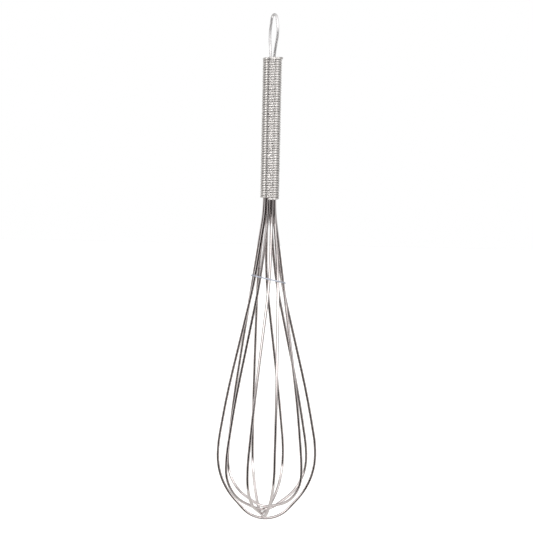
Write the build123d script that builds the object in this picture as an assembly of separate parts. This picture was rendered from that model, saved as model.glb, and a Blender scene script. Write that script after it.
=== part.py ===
from build123d import *
import os
from math import acos, asin, atan2, cos, hypot, pi, radians, sin, tan

# A balloon whisk. Five hoops of round stainless wire cross at the tip and run up as ten legs.
# The legs stand in a ring inside a close coil, which is the handle, and a thin binding wire
# holds them apart at the neck. A smaller wire, bent to a loop, comes out of the top to hang it by.
# Millimetres. Z is up along the handle, X to the right and Y away from whoever looks at it.
# The origin is where a hook carries it: the underside of the wire at the top of the hanging loop.

# Tine hoops
tine_wire = 2.0
leg_gap = 0.28
exit_turn = 47.0
exit_reach = 8.3
neck_drop = 55.5
neck_radius = 10.5
neck_reach = 18.0
neck_twist = 29.0
bow = 1.5
bow_share = 0.69
bow_reach = 17.0
upper_corner_reach = 7.5
lower_corner_reach = 18.5
corner_share = 0.98
tip_drop = 226.4
crossing_gap = 0.22
legs_short = 1.5

# The hoops were bent by hand. Each has its half width, how far below the handle it is widest, how far its
# belly sits to the right, and how round its tip is.
half_width_1 = 34.4
widest_drop_1 = 180.5
sideways_1 = 1.6
tip_radius_1 = 22.0
half_width_2 = 33.0
widest_drop_2 = 186.5
sideways_2 = 1.9
tip_radius_2 = 20.3
half_width_3 = 34.0
widest_drop_3 = 188.0
sideways_3 = 1.2
tip_radius_3 = 22.0
half_width_4 = 31.5
widest_drop_4 = 181.0
sideways_4 = -0.7
tip_radius_4 = 20.3
half_width_5 = 32.6
widest_drop_5 = 188.5
sideways_5 = -0.1
tip_radius_5 = 22.0

# Each hoop: the way its first half points, in degrees from X seen from above; its place in the pile
# where the hoops cross, counted from the lowest; and its own sizes.
hoops = {
    "tine_loop_1": (2.0, 0, half_width_1, widest_drop_1, sideways_1, tip_radius_1),
    "tine_loop_2": (31.0, 3, half_width_2, widest_drop_2, sideways_2, tip_radius_2),
    "tine_loop_3": (68.5, 2, half_width_3, widest_drop_3, sideways_3, tip_radius_3),
    "tine_loop_4": (104.5, 1, half_width_4, widest_drop_4, sideways_4, tip_radius_4),
    "tine_loop_5": (143.0, 4, half_width_5, widest_drop_5, sideways_5, tip_radius_5),
}

# Handle coil
coil_wire = 1.25
coil_pitch = 1.685
coil_turns = 57
coil_start = -87.0
coil_end_turn = 67.0
seat_gap = 0.3
steps_per_turn = 24

# Neck ring
ring_wire = 0.9
ring_gap = 0.3
ring_tilt = 12.0
ring_tip_back = 6.3

# Hanging loop
hanging_wire = 1.8
hanging_height = 28.3
hanging_half_width = 6.0
hanging_turn = 120.0
hanging_foot_turn = 140.0
hanging_lean = 0.7
hanging_tail = 26.0
hanging_foot_rise = 2.5
hanging_foot_reach = 4.0
hanging_side_reach = 6.0
hanging_shoulder_half_width = 2.8
hanging_side_shares = (0.62, 0.55)

# Derived
legs = 2 * len(hoops)
bundle_radius = (tine_wire + leg_gap) / 2 / sin(pi / legs)
coil_radius = bundle_radius + tine_wire / 2 + seat_gap + coil_wire / 2
coil_sweep = 360 * coil_turns + coil_end_turn
coil_length = coil_pitch * coil_sweep / 360 + coil_wire
handle_top = -hanging_height
handle_foot = handle_top - coil_length
hanging_foot = bundle_radius - tine_wire / 2 - hanging_wire / 2 - leg_gap / 2


def unit(vector):
    return vector / vector.length


def turn_at(before, corner, after):
    """The angle, in radians, by which a route turns at a corner."""
    return acos(max(-1.0, min(1.0, unit(corner - before).dot(unit(after - corner)))))


def bent_wire_path(points, reaches):
    """Straight runs joined by arcs: each arc begins its reach before the corner and ends as far after it."""
    edges = []
    start = points[0]
    for before, corner, after, reach in zip(points, points[1:], points[2:], reaches):
        into, out = unit(corner - before), unit(after - corner)
        half = turn_at(before, corner, after) / 2
        first, last = corner - into * reach, corner + out * reach
        middle = corner + unit(out - into) * reach * (1 / cos(half) - 1) / tan(half)
        edges.append(Edge.make_line(start, first))
        edges.append(Edge.make_three_point_arc(first, middle, last))
        start = last
    edges.append(Edge.make_line(start, points[-1]))
    return Wire(edges)


def wire_along(path, diameter):
    """Round wire swept along a path."""
    section = Plane(origin=path @ 0, z_dir=path % 0) * Circle(diameter / 2)
    return sweep(sections=section, path=path)


# Tine hoops

def outward(radius, angle):
    """A step away from the handle's line."""
    return Vector(radius * cos(radians(angle)), radius * sin(radians(angle)), 0)


def hoop_point(radius, angle, drop):
    """A point by its distance from the handle's line, its direction and its drop below the handle."""
    return outward(radius, angle) + Vector(0, 0, handle_foot - drop)


def flank_slope(half_width, corner_drop, lowest, radius):
    """How steeply a flank runs down, in radians, from its lower corner to touch the tip's arc."""
    rise = lowest - radius - corner_drop
    return atan2(rise, half_width) + asin(radius / hypot(half_width, rise))


def hoop_path(name):
    """One hoop, from the top of its first leg round the tip to the top of its second."""
    direction, place, half_width, widest_drop, sideways, tip_radius = hoops[name]
    seat = exit_turn + list(hoops).index(name) * 360 / legs
    belly = Vector(sideways, 0, 0)
    upper_drop = widest_drop - upper_corner_reach
    lower_drop = widest_drop + lower_corner_reach
    slope = flank_slope(half_width, lower_drop, tip_drop - place * (tine_wire + crossing_gap), tip_radius)
    sides = []
    for half_turn in (0, 180):
        exit_point = hoop_point(bundle_radius, seat + half_turn, exit_reach)
        neck = hoop_point(neck_radius, direction + neck_twist + half_turn, neck_drop)
        upper = hoop_point(half_width, direction + half_turn, upper_drop) + belly
        lower = hoop_point(half_width, direction + half_turn, lower_drop) + belly
        bowed = neck + (upper - neck) * bow_share + outward(bow, direction + half_turn)
        top = Vector(exit_point.X, exit_point.Y, handle_top - legs_short)
        sides.append([top, exit_point, neck, bowed, upper, lower])
    tip = hoop_point(0, 0, lower_drop + half_width * tan(slope)) + belly
    points = sides[0] + [tip] + sides[1][::-1]
    reaches = [exit_reach, neck_reach, bow_reach,
               upper_corner_reach * corner_share, lower_corner_reach * corner_share]
    return bent_wire_path(points, reaches + [tip_radius * tan(slope)] + reaches[::-1])


# Handle coil

def coil_point(angle):
    """A point of the coil's centre line, by its angle in degrees, and the way the wire runs there."""
    turned = radians(coil_start + angle)
    rise = coil_pitch / (2 * pi)
    place = Vector(coil_radius * cos(turned), coil_radius * sin(turned),
                   handle_foot + coil_wire / 2 + rise * radians(angle))
    return place, unit(Vector(-coil_radius * sin(turned), coil_radius * cos(turned), rise))


def half_turn_arcs(first, last):
    """Two tangent arcs that carry the coil from one angle to another."""
    (start, go), (end, arrive) = coil_point(first), coil_point(last)
    span, both = end - start, go + arrive
    a, b, c = 2 * (1 - go.dot(arrive)), 2 * span.dot(both), -span.dot(span)
    reach = (-b + (b * b - 4 * a * c) ** 0.5) / (2 * a)
    joint = (start + go * reach + end - arrive * reach) / 2
    return [Edge.make_tangent_arc(start, go, joint),
            Edge.make_tangent_arc(end, arrive * -1, joint).reversed()]


def coil_path():
    """The whole winding, with both ends straight for one wire diameter."""
    start, go = coil_point(0)
    end, leave = coil_point(coil_sweep)
    edges = [Edge.make_line(start - go * coil_wire, start)]
    angle = 0
    while angle < coil_sweep:
        following = min(angle + 180, coil_sweep)
        edges += half_turn_arcs(angle, following)
        angle = following
    edges.append(Edge.make_line(end, end + leave * coil_wire))
    return Wire(edges)


def least_coil_gap():
    """The least clear distance from one turn to the next, measured on points along the wire."""
    step = 360 / steps_per_turn
    points = [coil_point(step * number)[0] for number in range(int(coil_sweep / step) + 1)]
    least = coil_length
    for number, point in enumerate(points):
        for other in points[number + steps_per_turn // 2:number + 2 * steps_per_turn]:
            least = min(least, (other - point).length)
    return least - coil_wire


# Neck ring

def ring_plane():
    """The ring lies across the neck, lower on the right and at the back."""
    tipped = Vector(tan(radians(ring_tilt)), tan(radians(ring_tip_back)), 1)
    return Plane(origin=(0, 0, handle_foot - neck_drop), z_dir=tipped)


def crossing(path, plane, low, high):
    """The point between two shares of a path where it passes through a plane."""
    below = plane.to_local_coords(path @ low).Z < 0
    for halving in range(40):
        middle = (low + high) / 2
        if (plane.to_local_coords(path @ middle).Z < 0) == below:
            low = middle
        else:
            high = middle
    return path @ low


def ring_path(paths):
    """A thin wire bent round the outside of the ten legs, past each at the same clearance."""
    plane = ring_plane()
    centres = []
    for path in paths:
        for low, high in ((0, 0.5), (1, 0.5)):
            centres.append(plane.to_local_coords(crossing(path, plane, low, high)))
    centres.sort(key=lambda centre: atan2(centre.Y, centre.X))
    around = tine_wire / 2 + ring_gap + ring_wire / 2
    points = []
    for before, centre, after in zip(centres[-1:] + centres, centres, centres[1:] + centres[:1]):
        along = unit(after - before)
        points.append(plane.from_local_coords(centre + Vector(along.Y, -along.X, 0) * around))
    return Wire([Edge.make_spline(points, periodic=True)])


# Hanging loop

def hanging_path():
    """Up out of the bundle, out to the side, over the top and back down into the bundle."""
    height = hanging_height + hanging_wire / 2
    lean = Vector(hanging_lean, 0, 0)

    def place(across, up, turn=hanging_turn):
        return outward(across, turn) + Vector(0, 0, handle_top + up)

    sides = []
    for side, share in zip((-1, 1), hanging_side_shares):
        sides.append([place(side * hanging_foot, -hanging_tail, hanging_foot_turn),
                      place(side * hanging_foot, hanging_foot_rise, hanging_foot_turn),
                      place(side * hanging_half_width, height * share) + lean,
                      place(side * hanging_shoulder_half_width, height) + lean])
    reaches = [hanging_foot_reach, hanging_side_reach, hanging_shoulder_half_width * corner_share]
    return bent_wire_path(sides[0] + sides[1][::-1], reaches + reaches[::-1])


def build():
    """Every piece under its node's name."""
    paths = {name: hoop_path(name) for name in hoops}
    pieces = {name: wire_along(path, tine_wire) for name, path in paths.items()}
    pieces["handle_coil"] = wire_along(coil_path(), coil_wire)
    pieces["neck_ring"] = wire_along(ring_path(paths.values()), ring_wire)
    pieces["hanging_loop"] = wire_along(hanging_path(), hanging_wire)
    return pieces


os.makedirs("parts", exist_ok=True)
whisk = build()
for node, piece in whisk.items():
    piece.label = node
    export_step(piece, f"parts/{node}.step")
print(f"least gap of the coil to itself {least_coil_gap():.3f} mm over {coil_sweep / 360:.1f} turns")
print(f"handle {coil_length:.1f} long, {2 * coil_radius + coil_wire:.2f} across; foot at {handle_foot:.1f}")
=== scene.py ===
"""A balloon whisk with a close-wound coil handle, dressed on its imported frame. Lengths are in metres.

It is laid out as an add-on and run as a script: each group of like pieces has its settings and operator.
"""

from math import atan2, cos, hypot, pi, radians, sin

import bmesh
import bpy
import numpy as np
from mathutils import Matrix, Vector


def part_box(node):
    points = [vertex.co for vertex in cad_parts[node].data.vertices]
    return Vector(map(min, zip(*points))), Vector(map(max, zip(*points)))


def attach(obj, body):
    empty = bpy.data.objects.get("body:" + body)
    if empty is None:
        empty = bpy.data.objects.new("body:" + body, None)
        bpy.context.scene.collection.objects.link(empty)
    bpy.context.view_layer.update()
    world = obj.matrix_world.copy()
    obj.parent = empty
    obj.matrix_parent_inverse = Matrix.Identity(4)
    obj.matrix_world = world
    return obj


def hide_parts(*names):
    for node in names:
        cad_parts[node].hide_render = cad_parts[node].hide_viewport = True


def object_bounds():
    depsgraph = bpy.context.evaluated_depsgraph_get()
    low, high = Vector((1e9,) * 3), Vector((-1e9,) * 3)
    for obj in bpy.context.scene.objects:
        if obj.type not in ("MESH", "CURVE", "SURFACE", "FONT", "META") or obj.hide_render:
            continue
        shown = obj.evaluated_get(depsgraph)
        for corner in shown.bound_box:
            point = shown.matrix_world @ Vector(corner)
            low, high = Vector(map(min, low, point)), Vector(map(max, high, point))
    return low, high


bl_info = {
    "name": "Balloon Whisk",
    "version": (1, 0, 0),
    "blender": (4, 5, 0),
    "location": "View3D > Sidebar > Whisk",
    "description": "Finishes the wire pieces of a balloon whisk and hangs it over a white table",
    "category": "Object",
}

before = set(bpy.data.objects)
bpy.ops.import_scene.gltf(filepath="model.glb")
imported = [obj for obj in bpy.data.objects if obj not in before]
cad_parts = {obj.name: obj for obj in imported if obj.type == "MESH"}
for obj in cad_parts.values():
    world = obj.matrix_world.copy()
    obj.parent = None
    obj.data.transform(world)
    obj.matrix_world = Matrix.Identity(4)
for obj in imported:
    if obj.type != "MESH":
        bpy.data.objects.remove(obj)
cad_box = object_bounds()

TINES = ("tine_loop_1", "tine_loop_2", "tine_loop_3", "tine_loop_4", "tine_loop_5")
BODY = "root"
MM = 0.001

# The numbered sockets of a Mix node set to colours: its share, its two colours, and its result
MIX_SHARE, MIX_FIRST, MIX_SECOND, MIX_RESULT = 0, 6, 7, 2


# Small helpers

def linear(hex_colour):
    """The linear colour of an sRGB hex value."""
    channels = [int(hex_colour[place:place + 2], 16) / 255 for place in (1, 3, 5)]
    return [c / 12.92 if c <= 0.04045 else ((c + 0.055) / 1.055) ** 2.4 for c in channels] + [1.0]


def add_node(tree, kind, inputs=None, **settings):
    """Adds a node with its settings, and links its inputs or sets their values.

    A socket is named, or numbered where several of a node's sockets share a name.
    """
    node = tree.nodes.new(kind)
    for name, value in settings.items():
        setattr(node, name, value)
    for socket, value in (inputs or {}).items():
        if isinstance(value, bpy.types.NodeSocket):
            tree.links.new(value, node.inputs[socket])
        else:
            node.inputs[socket].default_value = value
    return node


def emptied(owner):
    """The node tree of a material or of the world, emptied."""
    owner.use_nodes = True
    owner.node_tree.nodes.clear()
    return owner.node_tree


def give_material(node_name, material):
    """A CAD node keeps its shape and takes a better material."""
    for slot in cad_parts[node_name].material_slots:
        slot.material = material


def finished_piece(name, bm, material):
    """The mesh as a piece that rides on the whisk's one body."""
    mesh = bpy.data.meshes.new(name)
    bm.to_mesh(mesh)
    bm.free()
    mesh.shade_smooth()
    mesh.materials.append(material)
    piece = bpy.data.objects.new(name, mesh)
    bpy.context.scene.collection.objects.link(piece)
    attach(piece, BODY)
    return piece


# Materials

# The finish that all the wires share. On the real wire the drawn lines are a few hundredths of a millimetre
# apart. The settings space them wider, because lines that fine wouldn't show even close by.
LINE_LENGTH = 25 * MM
LINE_RELIEF = 0.02 * MM
LINE_STRENGTH = 0.25
PATCH_SIZE = 9 * MM
# Noise values between which a patch goes from rubbed to dull, and a line from unscored to scored
PATCH_RANGE = (0.35, 0.7)
LINE_RANGE = (0.4, 0.75)
# Shares of the wire's roughness: in a rubbed patch, in a dull one, and what a scored line adds
RUBBED, HANDLED, SCORED = 0.8, 1.2, 0.4
# How far towards the touching turn the painted shade in a groove begins and is full, as shares of the way
GROOVE_SHADE_BEGINS, GROOVE_SHADE_FULL = 0.75, 0.99
# The drawn lines spread a reflection at a right angle to themselves, which is a quarter of a whole turn.
ACROSS_LINES = 0.25


def drawn_steel(name, bright, dull, roughness, line_spacing, place=None, grain=0.0, groove=0.0, painted_groove_shade=None):
    """Austenitic stainless steel wire, cold-drawn through a die and then polished bright.

    The die leaves faint lines along the wire, and handling leaves soft patches that are a little duller.
    place names the attribute that runs with the wire; without one, the lines run up the whisk.
    grain is how much the lines spread a reflection across a wire that is wound round the handle, groove is
    how far up its side the next turn touches it, and painted_groove_shade is the colour of the painted shade
    deep in the groove.
    """
    material = bpy.data.materials.new(name)
    tree = emptied(material)
    if place:
        along = add_node(tree, "ShaderNodeAttribute", attribute_name=place).outputs["Vector"]
    else:
        along = add_node(tree, "ShaderNodeTexCoord").outputs["Object"]
    stretched = add_node(tree, "ShaderNodeMapping", {
        "Vector": along, "Scale": (1 / line_spacing, 1 / line_spacing, 1 / LINE_LENGTH)})
    lines = add_node(tree, "ShaderNodeTexNoise", {
        "Vector": stretched.outputs["Vector"], "Scale": 1.0, "Detail": 2.0, "Roughness": 0.6})
    patches = add_node(tree, "ShaderNodeTexNoise", {
        "Vector": along, "Scale": 1 / PATCH_SIZE, "Detail": 3.0, "Roughness": 0.6})
    shown = add_node(tree, "ShaderNodeMix", {
        MIX_SHARE: patches.outputs["Fac"], MIX_FIRST: linear(bright), MIX_SECOND: linear(dull)},
        data_type="RGBA").outputs[MIX_RESULT]
    if painted_groove_shade:
        # Painted shade: the wire is darkened deep in the groove where it touches the next turn, as shade
        # would fall there.
        across = add_node(tree, "ShaderNodeSeparateXYZ", {"Vector": along}).outputs["Y"]
        wide = add_node(tree, "ShaderNodeMath", {0: across}, operation="ABSOLUTE")
        deep = add_node(tree, "ShaderNodeMapRange", {
            "Value": wide.outputs["Value"],
            "From Min": groove * GROOVE_SHADE_BEGINS, "From Max": groove * GROOVE_SHADE_FULL},
            interpolation_type="SMOOTHSTEP")
        shown = add_node(tree, "ShaderNodeMix", {
            MIX_SHARE: deep.outputs["Result"], MIX_FIRST: shown, MIX_SECOND: linear(painted_groove_shade)},
            data_type="RGBA").outputs[MIX_RESULT]
    rubbed = add_node(tree, "ShaderNodeMapRange", {
        "Value": patches.outputs["Fac"], "From Min": PATCH_RANGE[0], "From Max": PATCH_RANGE[1],
        "To Min": roughness * RUBBED, "To Max": roughness * HANDLED})
    scored = add_node(tree, "ShaderNodeMapRange", {
        "Value": lines.outputs["Fac"], "From Min": LINE_RANGE[0], "From Max": LINE_RANGE[1],
        "To Min": 0.0, "To Max": roughness * SCORED})
    rough = add_node(tree, "ShaderNodeMath", {
        0: rubbed.outputs["Result"], 1: scored.outputs["Result"]}, operation="ADD")
    bump = add_node(tree, "ShaderNodeBump", {
        "Height": lines.outputs["Fac"], "Strength": LINE_STRENGTH, "Distance": LINE_RELIEF})
    shader = add_node(tree, "ShaderNodeBsdfPrincipled", {
        "Base Color": shown, "Metallic": 1.0, "Roughness": rough.outputs["Value"],
        "Normal": bump.outputs["Normal"]})
    if grain:
        round_handle = add_node(tree, "ShaderNodeTangent", direction_type="RADIAL", axis="Z")
        tree.links.new(round_handle.outputs["Tangent"], shader.inputs["Tangent"])
        shader.inputs["Anisotropic"].default_value = grain
        shader.inputs["Anisotropic Rotation"].default_value = ACROSS_LINES
    add_node(tree, "ShaderNodeOutputMaterial", {"Surface": shader.outputs["BSDF"]})
    return material


# Handle coil

class CoilSettings(bpy.types.PropertyGroup):
    """The wire of the handle and how it is wound."""

    wire: bpy.props.FloatProperty(
        name="Wire", description="Thickness of the handle's wire; the turns touch when it equals the pitch",
        default=1.66 * MM, unit="LENGTH", precision=5)
    pitch: bpy.props.FloatProperty(
        name="Pitch", description="Rise of the winding from one turn to the next",
        default=1.685 * MM, unit="LENGTH", precision=5)
    outer_radius: bpy.props.FloatProperty(
        name="Outer radius", description="From the handle's line to the outside of the wire",
        default=6.68 * MM, unit="LENGTH", precision=5)
    turns: bpy.props.IntProperty(
        name="Whole turns", description="Whole turns of the winding", default=57)
    start: bpy.props.FloatProperty(
        name="Start", description="Where the lower end lies, round from the right",
        default=radians(-87), subtype="ANGLE")
    end_turn: bpy.props.FloatProperty(
        name="Last part turn", description="How far the wire runs on past its last whole turn",
        default=radians(67), subtype="ANGLE")
    tail: bpy.props.FloatProperty(
        name="Tail", description="Straight stretch at each cut end",
        default=1.2 * MM, unit="LENGTH", precision=5)
    flare: bpy.props.FloatProperty(
        name="Flare", description="How far the upper end springs out of the winding",
        default=0.6 * MM, unit="LENGTH", precision=5)
    flared_part: bpy.props.FloatProperty(
        name="Flared part", description="How much of the last turn springs out",
        default=radians(216), subtype="ANGLE")
    steps: bpy.props.IntProperty(
        name="Steps per turn", description="Sections of wire in one turn", default=48)
    sides: bpy.props.IntProperty(
        name="Sides", description="Sides of the wire's section", default=16)
    bright: bpy.props.StringProperty(
        name="Bright", description="sRGB hex of the rubbed crests", default="#F2EFED")
    dull: bpy.props.StringProperty(
        name="Dull", description="sRGB hex of the duller patches", default="#E6E1DD")
    # Painted shade: the colour painted deep in the grooves between the turns where shade falls, not a colour
    # the wire has.
    painted_groove_shade: bpy.props.StringProperty(
        name="Groove shade", description="sRGB hex of the polish left deep between the turns", default="#4A423C")
    roughness: bpy.props.FloatProperty(
        name="Roughness", description="Roughness of the rubbed wire", default=0.4, min=0, max=1)
    grain: bpy.props.FloatProperty(
        name="Grain", description="How much the drawn lines spread a reflection across the wire",
        default=1.0, min=0, max=1)
    line_spacing: bpy.props.FloatProperty(
        name="Line spacing", description="From one drawn line to the next",
        default=0.12 * MM, unit="LENGTH", precision=5)


# The edge of a cut face is rounded by these shares of the straight end: inwards, and out along the wire.
CUT_INWARDS, CUT_OUTWARDS = 1 / 12, 1 / 20
# Two sections of wire that are nearer than this share of its thickness are the same section.
SAME_PLACE = 1 / 1000


def of_kind(items, kind):
    """The vertices or the edges among what a bmesh operator gives back."""
    return [item for item in items if isinstance(item, kind)]


def cut_end(bm, edges, tail):
    """Draws the open end of a wire out straight and closes it with a slightly rounded cut face."""
    ring = {vertex for edge in edges for vertex in edge.verts}
    drawn = bmesh.ops.extrude_edge_only(bm, edges=edges)["geom"]
    bmesh.ops.translate(bm, verts=of_kind(drawn, bmesh.types.BMVert), vec=tail)
    rim = [edge for edge in of_kind(drawn, bmesh.types.BMEdge) if edge.is_boundary]
    face = bmesh.ops.holes_fill(bm, edges=rim, sides=len(ring))["faces"]
    bmesh.ops.inset_region(bm, faces=face, thickness=tail.length * CUT_INWARDS,
                           depth=tail.length * CUT_OUTWARDS)


def wind_coil(settings, foot):
    """One wire wound close: its section spun round the handle's line while it climbs, turn upon turn."""
    bm = bmesh.new()
    radius = settings.outer_radius - settings.wire / 2
    climb = atan2(settings.pitch, 2 * pi * radius)
    start = Vector((radius, 0, foot + settings.wire / 2))
    place = (Matrix.Rotation(settings.start, 4, "Z") @ Matrix.Translation(start)
             @ Matrix.Rotation(climb, 4, "X") @ Matrix.Rotation(pi / 2, 4, "X"))
    bmesh.ops.create_circle(bm, segments=settings.sides, radius=settings.wire / 2, matrix=place)
    turn = {"cent": (0, 0, 0), "axis": (0, 0, 1), "dvec": (0, 0, settings.pitch / settings.steps)}
    bmesh.ops.spin(bm, geom=bm.verts[:] + bm.edges[:], angle=2 * pi, steps=settings.steps, **turn)
    one_turn = bm.verts[:] + bm.edges[:] + bm.faces[:]
    for number in range(1, settings.turns):
        copied = bmesh.ops.duplicate(bm, geom=one_turn)["geom"]
        bmesh.ops.translate(bm, vec=(0, 0, settings.pitch * number),
                            verts=of_kind(copied, bmesh.types.BMVert))
    bmesh.ops.remove_doubles(bm, verts=bm.verts, dist=settings.wire * SAME_PLACE)
    middle = foot + settings.pitch * settings.turns / 2
    ends = [[edge for edge in bm.edges if edge.is_boundary and (edge.verts[0].co.z > middle) == upper]
            for upper in (False, True)]
    rest = round(settings.end_turn / (2 * pi) * settings.steps)
    made = bmesh.ops.spin(bm, geom=list({vertex for edge in ends[1] for vertex in edge.verts}) + ends[1],
                          angle=settings.end_turn, steps=rest, **turn)
    ends[1] = of_kind(made["geom_last"], bmesh.types.BMEdge)
    angles = (settings.start, settings.start + settings.end_turn)
    for edges, angle, way in zip(ends, angles, (-1, 1)):
        along = Vector((-sin(angle), cos(angle), sin(climb))).normalized()
        cut_end(bm, edges, along * settings.tail * way)
    bmesh.ops.recalc_face_normals(bm, faces=bm.faces)
    return bm


def mark_along_wire(mesh, settings, foot):
    """Writes, at each vertex, its place across the wire's section and along its length, for the material.

    Then it lets the upper end spring out a little, as the real wire's cut end does.
    """
    radius = settings.outer_radius - settings.wire / 2
    place = mesh.attributes.new("along_wire", "FLOAT_VECTOR", "POINT")
    for vertex in mesh.vertices:
        x, y, z = vertex.co
        part = (atan2(y, x) - settings.start) / (2 * pi)
        height = (z - foot - settings.wire / 2) / settings.pitch
        turns = round(height - part) + part
        place.data[vertex.index].vector = (
            hypot(x, y) - radius, (height - turns) * settings.pitch, turns * 2 * pi * radius)
        before_end = 2 * pi * (settings.turns - turns) + settings.end_turn
        share = min(max(1 - before_end / settings.flared_part, 0), 1)
        eased = share * share * (3 - 2 * share)
        sprung = 1 + settings.flare * eased / hypot(x, y)
        vertex.co = (x * sprung, y * sprung, z)


class WHISK_OT_handle_coil(bpy.types.Operator):
    """Winds the handle's wire close, in place of the open coil of the frame"""

    bl_idname = "whisk.handle_coil"
    bl_label = "Handle coil"

    def execute(self, context):
        settings = context.scene.whisk_coil
        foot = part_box("handle_coil")[0][2]
        steel = drawn_steel("stainless_handle_wire_close_wound", settings.bright, settings.dull,
                            settings.roughness, settings.line_spacing, "along_wire", settings.grain,
                            settings.wire / 2, settings.painted_groove_shade)
        coil = finished_piece("handle_coil_close_wound", wind_coil(settings, foot), steel)
        mark_along_wire(coil.data, settings, foot)
        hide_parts("handle_coil")
        return {"FINISHED"}


# Tine hoops

class TineSettings(bpy.types.PropertyGroup):
    """The finish of the five hoops."""

    bright: bpy.props.StringProperty(
        name="Bright", description="sRGB hex of the polished wire", default="#DCD6D5")
    dull: bpy.props.StringProperty(
        name="Dull", description="sRGB hex of the duller patches", default="#C8BFBD")
    roughness: bpy.props.FloatProperty(
        name="Roughness", description="Roughness of the polished wire", default=0.06, min=0, max=1)
    line_spacing: bpy.props.FloatProperty(
        name="Line spacing", description="From one drawn line to the next",
        default=0.15 * MM, unit="LENGTH", precision=5)


class WHISK_OT_tine_hoops(bpy.types.Operator):
    """Gives the five hoops their drawn and polished steel"""

    bl_idname = "whisk.tine_hoops"
    bl_label = "Tine hoops"

    def execute(self, context):
        settings = context.scene.whisk_tines
        steel = drawn_steel("stainless_tine_wire_drawn_and_polished", settings.bright, settings.dull,
                            settings.roughness, settings.line_spacing)
        for name in TINES:
            give_material(name, steel)
        return {"FINISHED"}


# Neck ring

class RingSettings(bpy.types.PropertyGroup):
    """The binding ring at the neck and the tacks that hold it to the legs."""

    colour: bpy.props.StringProperty(
        name="Colour", description="sRGB hex of the thin ring wire", default="#BFC4D2")
    roughness: bpy.props.FloatProperty(
        name="Roughness", description="Roughness of the thin ring wire", default=0.3, min=0, max=1)
    line_spacing: bpy.props.FloatProperty(
        name="Line spacing", description="From one drawn line to the next",
        default=0.1 * MM, unit="LENGTH", precision=5)
    tack_width: bpy.props.FloatProperty(
        name="Tack width", description="Width of a tack along the ring",
        default=2.0 * MM, unit="LENGTH", precision=5)
    tack_height: bpy.props.FloatProperty(
        name="Tack height", description="Height of a tack up the leg",
        default=1.3 * MM, unit="LENGTH", precision=5)
    tack_depth: bpy.props.FloatProperty(
        name="Tack depth", description="Depth of a tack from the leg to the ring",
        default=0.9 * MM, unit="LENGTH", precision=5)
    tack_reach: bpy.props.FloatProperty(
        name="Tack reach", description="From the middle of the leg out to the middle of its tack",
        default=1.1 * MM, unit="LENGTH", precision=5)


# A vertex this near a cutting plane counts as on it.
ON_PLANE = 1e-7


def ring_plane():
    """The middle of the neck ring, and the direction across which it lies flat."""
    points = np.array([vertex.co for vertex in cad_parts["neck_ring"].data.vertices])
    middle = points.mean(axis=0)
    return Vector(middle), Vector(np.linalg.svd(points - middle, full_matrices=False)[2][-1])


def leg_sections(name, middle, across):
    """The middles of the two legs of a hoop where the ring's plane cuts them."""
    bm = bmesh.new()
    bm.from_mesh(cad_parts[name].data)
    cut = bmesh.ops.bisect_plane(bm, geom=bm.verts[:] + bm.edges[:] + bm.faces[:], dist=ON_PLANE,
                                 plane_co=middle, plane_no=across)["geom_cut"]
    points = [vertex.co - middle for vertex in of_kind(cut, bmesh.types.BMVert)]
    sides = [[p for p in points if p.dot(points[0]) > 0], [p for p in points if p.dot(points[0]) <= 0]]
    centres = [sum(side, Vector()) / len(side) + middle for side in sides]
    bm.free()
    return centres


class WHISK_OT_neck_ring(bpy.types.Operator):
    """Finishes the neck ring and tacks it to the ten legs"""

    bl_idname = "whisk.neck_ring"
    bl_label = "Neck ring"

    def execute(self, context):
        settings = context.scene.whisk_ring
        steel = drawn_steel("stainless_ring_wire_thin_drawn", settings.colour, settings.colour,
                            settings.roughness, settings.line_spacing)
        give_material("neck_ring", steel)
        middle, across = ring_plane()
        size = Matrix.Diagonal((settings.tack_depth / 2, settings.tack_width / 2,
                                settings.tack_height / 2, 1))
        bm = bmesh.new()
        for name in TINES:
            for leg in leg_sections(name, middle, across):
                outward = (leg - middle).normalized()
                turned = Matrix((outward, across.cross(outward), across)).transposed().to_4x4()
                place = Matrix.Translation(leg + outward * settings.tack_reach) @ turned @ size
                bmesh.ops.create_icosphere(bm, subdivisions=3, radius=1, matrix=place)
        finished_piece("neck_ring_tacks", bm, steel)
        return {"FINISHED"}


# Hanging loop

class LoopSettings(bpy.types.PropertyGroup):
    """The finish of the hanging loop."""

    bright: bpy.props.StringProperty(
        name="Bright", description="sRGB hex of the rubbed wire", default="#E2E1E1")
    dull: bpy.props.StringProperty(
        name="Dull", description="sRGB hex of the duller patches", default="#C9C6C6")
    roughness: bpy.props.FloatProperty(
        name="Roughness", description="Roughness of the wire, which is duller than the hoops'",
        default=0.42, min=0, max=1)
    line_spacing: bpy.props.FloatProperty(
        name="Line spacing", description="From one drawn line to the next",
        default=0.15 * MM, unit="LENGTH", precision=5)


class WHISK_OT_hanging_loop(bpy.types.Operator):
    """Gives the hanging loop its bent and polished steel"""

    bl_idname = "whisk.hanging_loop"
    bl_label = "Hanging loop"

    def execute(self, context):
        settings = context.scene.whisk_loop
        give_material("hanging_loop", drawn_steel(
            "stainless_loop_wire_bent_and_polished", settings.bright, settings.dull, settings.roughness,
            settings.line_spacing))
        return {"FINISHED"}


# Stage

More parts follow.
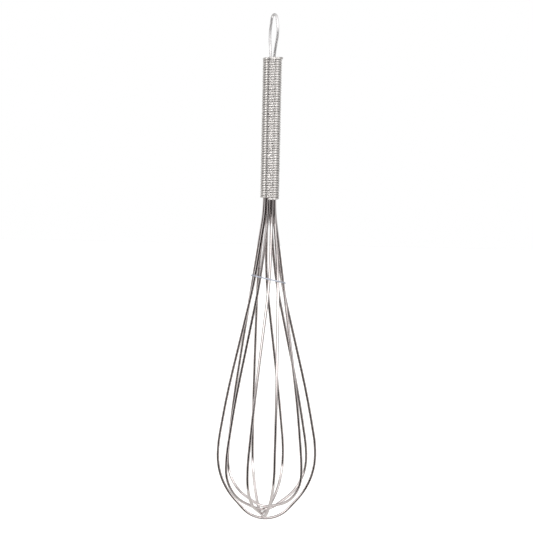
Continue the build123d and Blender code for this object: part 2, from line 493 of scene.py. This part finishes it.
class StageSettings(bpy.types.PropertyGroup):
    """The camera, the light and the white table."""

    distance: bpy.props.FloatProperty(
        name="Distance", description="From the camera to the whisk's middle plane",
        default=971.3 * MM, unit="LENGTH")
    side: bpy.props.FloatProperty(
        name="Side", description="Camera's place to the right", default=-1.15 * MM, unit="LENGTH")
    height: bpy.props.FloatProperty(
        name="Height", description="Camera's height", default=-74.0 * MM, unit="LENGTH")
    look_down: bpy.props.FloatProperty(
        name="Look down", description="How far the camera looks down",
        default=radians(5.8), subtype="ANGLE")
    roll: bpy.props.FloatProperty(
        name="Roll", description="The camera's turn about its own line",
        default=radians(1.19), subtype="ANGLE")
    lens: bpy.props.FloatProperty(
        name="Lens", description="Focal length on a 36 mm sensor, in millimetres", default=94.56)
    table_drop: bpy.props.FloatProperty(
        name="Table drop", description="From the tip down to the table", default=0.3, unit="LENGTH")
    table_size: bpy.props.FloatProperty(
        name="Table size", description="Side of the table", default=6.0, unit="LENGTH")
    table_front: bpy.props.FloatProperty(
        name="Table front", description="From the whisk to the table's front edge",
        default=0.3, unit="LENGTH")
    table_colour: bpy.props.StringProperty(
        name="Table", description="sRGB hex of the matt white table", default="#D8D8D6")
    table_glow: bpy.props.FloatProperty(
        name="Table glow", description="What the camera sees besides the lit table, where 1 is white",
        default=0.62)
    table_mirrored: bpy.props.FloatProperty(
        name="Table mirrored", description="Share of that glow that a wire mirrors",
        default=0.2, min=0, max=1)
    room_colour: bpy.props.StringProperty(
        name="Room", description="sRGB hex of the unlit room behind the camera", default="#1C1517")
    room_half_width: bpy.props.FloatProperty(
        name="Room half width", description="How far to each side of the camera the room reaches",
        default=radians(59), subtype="ANGLE")
    room_half_height: bpy.props.FloatProperty(
        name="Room half height", description="How far above and below its middle the room reaches",
        default=radians(34), subtype="ANGLE")
    room_middle: bpy.props.FloatProperty(
        name="Room middle", description="Height of the room's middle above the horizon",
        default=radians(-19), subtype="ANGLE")
    gap_side: bpy.props.FloatProperty(
        name="Gap", description="How far to the left of the camera the gap between the softboxes is",
        default=radians(50), subtype="ANGLE")
    gap_half_width: bpy.props.FloatProperty(
        name="Gap half width", description="Half the width of that gap",
        default=radians(14), subtype="ANGLE")
    ceiling_begins: bpy.props.FloatProperty(
        name="Ceiling begins", description="Height above the horizon at which the front begins to dim",
        default=radians(12), subtype="ANGLE")
    ceiling_full: bpy.props.FloatProperty(
        name="Ceiling full", description="Height above the horizon at which it is no brighter than the back",
        default=radians(32), subtype="ANGLE")
    front_level: bpy.props.FloatProperty(
        name="Front level", description="Brightness of the softboxes above and below the camera",
        default=7.8)
    strip_level: bpy.props.FloatProperty(
        name="Strip level", description="Brightness of the strip light to the left of the gap", default=1.8)
    side_level: bpy.props.FloatProperty(
        name="Side level", description="Brightness of the studio's side walls", default=0.48)
    back_level: bpy.props.FloatProperty(
        name="Back level", description="Brightness of the white background", default=1.0)
    lamp_power: bpy.props.FloatProperty(
        name="Lamp power", description="Power of each lamp, in watts", default=3.0)
    lamp_size: bpy.props.FloatProperty(
        name="Lamp size", description="Side of each square lamp", default=0.8, unit="LENGTH")


# Where the two lamps stand, from the whisk's middle, in metres
LAMPS = {
    "softbox_left": (-1.1, -0.5, 0.7),
    "softbox_right": (1.2, -0.3, 0.9),
}
# Where the studio's levels change at eye level, in degrees round from the camera, with the left negative.
# Each pair is where a level ends and where the next one is reached.
LEFT_BACK_TO_WALL = (-150, -115)
LEFT_WALL_TO_STRIP = (-88, -80)
FRONT_TO_CORNER = (15, 45)
RIGHT_WALL_BEGINS = 76
RIGHT_WALL_TO_BACK = (125, 155)
# The front's level in its right corner, as a share of the front's full level
CORNER_SHARE = 0.42
# The soft edges of the room and of the gap begin and end at these shares of the half width.
EDGE_BEGINS, EDGE_ENDS = 0.7, 1.3


def table_material(settings):
    """Matt white laminate. It shows white under the plain light, and the whisk's shadow stays on it.

    The wires mirror it a little less bright than the camera sees it, so that their tips stand out from it.
    """
    material = bpy.data.materials.new("white_laminate_matt")
    tree = emptied(material)
    seen = add_node(tree, "ShaderNodeLightPath")
    mirrored = add_node(tree, "ShaderNodeMath", {
        0: seen.outputs["Is Glossy Ray"], 1: settings.table_mirrored}, operation="MULTIPLY")
    direct = add_node(tree, "ShaderNodeMath", {
        0: seen.outputs["Is Camera Ray"], 1: seen.outputs["Is Transmission Ray"]}, operation="MAXIMUM")
    share = add_node(tree, "ShaderNodeMath", {
        0: direct.outputs["Value"], 1: mirrored.outputs["Value"]}, operation="MAXIMUM")
    glow = add_node(tree, "ShaderNodeMath", {
        0: share.outputs["Value"], 1: settings.table_glow}, operation="MULTIPLY")
    shader = add_node(tree, "ShaderNodeBsdfPrincipled", {
        "Base Color": linear(settings.table_colour), "Roughness": 0.6, "Emission Color": linear("#FFFFFF"),
        "Emission Strength": glow.outputs["Value"]})
    add_node(tree, "ShaderNodeOutputMaterial", {"Surface": shader.outputs["BSDF"]})
    return material


def wall_levels(settings):
    """How bright the studio is all round, as angles from the camera, with the left negative, and levels."""
    gap, half = -settings.gap_side, settings.gap_half_width
    dark = linear(settings.room_colour)[0]
    back, wall, strip, front = (
        settings.back_level, settings.side_level, settings.strip_level, settings.front_level)
    return (
        (-pi, back),
        (radians(LEFT_BACK_TO_WALL[0]), back),
        (radians(LEFT_BACK_TO_WALL[1]), wall),
        (radians(LEFT_WALL_TO_STRIP[0]), wall),
        (radians(LEFT_WALL_TO_STRIP[1]), strip),
        (gap - half * EDGE_ENDS, strip),
        (gap - half * EDGE_BEGINS, dark),
        (gap + half * EDGE_BEGINS, dark),
        (gap + half * EDGE_ENDS, front),
        (radians(FRONT_TO_CORNER[0]), front),
        (radians(FRONT_TO_CORNER[1]), front * CORNER_SHARE),
        (radians(RIGHT_WALL_BEGINS), wall),
        (radians(RIGHT_WALL_TO_BACK[0]), wall),
        (radians(RIGHT_WALL_TO_BACK[1]), back),
        (pi, back),
    )


def studio_world(settings):
    """A white studio, but for the unlit room behind the camera and a dark gap to the left of its softboxes.

    The camera sees plain white behind the whisk. The wires mirror the studio, whose back is the same white.
    """
    world = bpy.data.worlds.new("white_studio")
    bpy.context.scene.world = world
    tree = emptied(world)
    way = add_node(tree, "ShaderNodeSeparateXYZ", {
        "Vector": add_node(tree, "ShaderNodeTexCoord").outputs["Generated"]})
    # Each upright line on a wire mirrors one level to the camera, whatever its height. So the side counts as
    # twice the angle by which such a line faces away from the camera. At eye level that is the side's angle.
    front = add_node(tree, "ShaderNodeMath", {0: 1.0, 1: way.outputs["Y"]}, operation="SUBTRACT")
    facing = add_node(tree, "ShaderNodeMath", {0: way.outputs["X"], 1: front.outputs["Value"]},
                      operation="ARCTAN2")
    side = add_node(tree, "ShaderNodeMath", {0: facing.outputs["Value"], 1: 2.0}, operation="MULTIPLY")
    rise = add_node(tree, "ShaderNodeMath", {0: way.outputs["Z"]}, operation="ARCSINE")
    beyond = []
    for angle, middle, half in ((side, 0.0, settings.room_half_width),
                                (rise, settings.room_middle, settings.room_half_height)):
        off = add_node(tree, "ShaderNodeMath", {0: angle.outputs["Value"], 1: middle}, operation="SUBTRACT")
        off = add_node(tree, "ShaderNodeMath", {0: off.outputs["Value"]}, operation="ABSOLUTE")
        beyond.append(add_node(tree, "ShaderNodeMapRange", {
            "Value": off.outputs["Value"], "From Min": half * EDGE_BEGINS, "From Max": half * EDGE_ENDS},
            interpolation_type="SMOOTHSTEP"))
    lit = add_node(tree, "ShaderNodeMath", {
        0: beyond[0].outputs["Result"], 1: beyond[1].outputs["Result"]}, operation="MAXIMUM")
    turned = add_node(tree, "ShaderNodeMapRange", {
        "Value": side.outputs["Value"], "From Min": -pi, "From Max": pi})
    walls = add_node(tree, "ShaderNodeValToRGB", {0: turned.outputs["Result"]})
    levels = wall_levels(settings)
    for element, (angle, level) in zip(walls.color_ramp.elements, (levels[0], levels[-1])):
        element.color = [level] * 3 + [1]
    for angle, level in levels[1:-1]:
        walls.color_ramp.elements.new((angle / pi + 1) / 2).color = [level] * 3 + [1]
    # Overhead the softboxes end, and the ceiling is no brighter than the back.
    ceiling = add_node(tree, "ShaderNodeMapRange", {
        "Value": rise.outputs["Value"],
        "From Min": settings.ceiling_begins, "From Max": settings.ceiling_full,
        "To Min": settings.front_level, "To Max": settings.back_level})
    walls = add_node(tree, "ShaderNodeMath", {
        0: walls.outputs["Color"], 1: ceiling.outputs["Result"]}, operation="MINIMUM")
    studio = add_node(tree, "ShaderNodeMix", {
        MIX_SHARE: lit.outputs["Value"], MIX_FIRST: linear(settings.room_colour),
        MIX_SECOND: walls.outputs["Value"]}, data_type="RGBA")
    seen = add_node(tree, "ShaderNodeLightPath")
    colour = add_node(tree, "ShaderNodeMix", {
        MIX_SHARE: seen.outputs["Is Camera Ray"], MIX_FIRST: studio.outputs[MIX_RESULT],
        MIX_SECOND: linear("#FFFFFF")}, data_type="RGBA")
    light = add_node(tree, "ShaderNodeBackground", {"Color": colour.outputs[MIX_RESULT], "Strength": 1.0})
    add_node(tree, "ShaderNodeOutputWorld", {"Surface": light.outputs["Background"]})


def softbox(name, place, size, power, target):
    """A plain square softbox, turned to the whisk."""
    lamp = bpy.data.lights.new(name, "AREA")
    lamp.shape = "SQUARE"
    lamp.size = size
    lamp.energy = power
    box = bpy.data.objects.new(name, lamp)
    box.location = place
    box.rotation_euler = (target - box.location).to_track_quat("-Z", "Y").to_euler()
    bpy.context.scene.collection.objects.link(box)


class WHISK_OT_stage(bpy.types.Operator):
    """Sets the white table, the soft light and the camera of the photograph"""

    bl_idname = "whisk.stage"
    bl_label = "Stage"

    def execute(self, context):
        settings = context.scene.whisk_stage
        low, high = cad_box
        bm = bmesh.new()
        middle = Vector((0, settings.table_size / 2 - settings.table_front, low[2] - settings.table_drop))
        bmesh.ops.create_grid(bm, x_segments=1, y_segments=1, size=settings.table_size / 2,
                              matrix=Matrix.Translation(middle))
        mesh = bpy.data.meshes.new("table")
        bm.to_mesh(mesh)
        bm.free()
        mesh.materials.append(table_material(settings))
        table = bpy.data.objects.new("table", mesh)
        context.scene.collection.objects.link(table)
        studio_world(settings)
        target = (Vector(low) + Vector(high)) / 2
        for name, place in LAMPS.items():
            softbox(name, target + Vector(place), settings.lamp_size, settings.lamp_power, target)
        camera = bpy.data.objects.new("camera", bpy.data.cameras.new("camera"))
        camera.data.lens = settings.lens
        camera.location = (settings.side, -settings.distance, settings.height)
        aimed = Matrix.Rotation(pi / 2 - settings.look_down, 3, "X")
        camera.rotation_euler = (aimed @ Matrix.Rotation(settings.roll, 3, "Z")).to_euler()
        context.scene.collection.objects.link(camera)
        context.scene.camera = camera
        context.scene.view_settings.view_transform = "Standard"
        return {"FINISHED"}


# Panel and registering

class WHISK_PT_panel(bpy.types.Panel):
    """The whisk's pieces, in the order in which they are made"""

    bl_idname = "WHISK_PT_panel"
    bl_label = "Whisk"
    bl_space_type = "VIEW_3D"
    bl_region_type = "UI"
    bl_category = "Whisk"

    def draw(self, context):
        for operator, settings in STEPS:
            box = self.layout.box()
            box.operator(operator.bl_idname)
            group = getattr(context.scene, settings)
            for name in group.bl_rna.properties.keys():
                if name not in ("rna_type", "name"):
                    box.prop(group, name)


SETTINGS = {
    "whisk_tines": TineSettings,
    "whisk_coil": CoilSettings,
    "whisk_ring": RingSettings,
    "whisk_loop": LoopSettings,
    "whisk_stage": StageSettings,
}
STEPS = (
    (WHISK_OT_tine_hoops, "whisk_tines"),
    (WHISK_OT_handle_coil, "whisk_coil"),
    (WHISK_OT_neck_ring, "whisk_ring"),
    (WHISK_OT_hanging_loop, "whisk_loop"),
    (WHISK_OT_stage, "whisk_stage"),
)


def register():
    """Adds the settings to the scene, and the operators and the panel."""
    for name, group in SETTINGS.items():
        bpy.utils.register_class(group)
        setattr(bpy.types.Scene, name, bpy.props.PointerProperty(type=group))
    for operator, _ in STEPS:
        bpy.utils.register_class(operator)
    bpy.utils.register_class(WHISK_PT_panel)


def unregister():
    """Takes away what register adds."""
    bpy.utils.unregister_class(WHISK_PT_panel)
    for operator, _ in STEPS:
        bpy.utils.unregister_class(operator)
    for name, group in SETTINGS.items():
        delattr(bpy.types.Scene, name)
        bpy.utils.unregister_class(group)


def main():
    """Makes the pieces and the stage in order."""
    register()
    bpy.ops.whisk.tine_hoops()
    bpy.ops.whisk.handle_coil()
    bpy.ops.whisk.neck_ring()
    bpy.ops.whisk.hanging_loop()
    bpy.ops.whisk.stage()


if __name__ == "__main__":
    main()
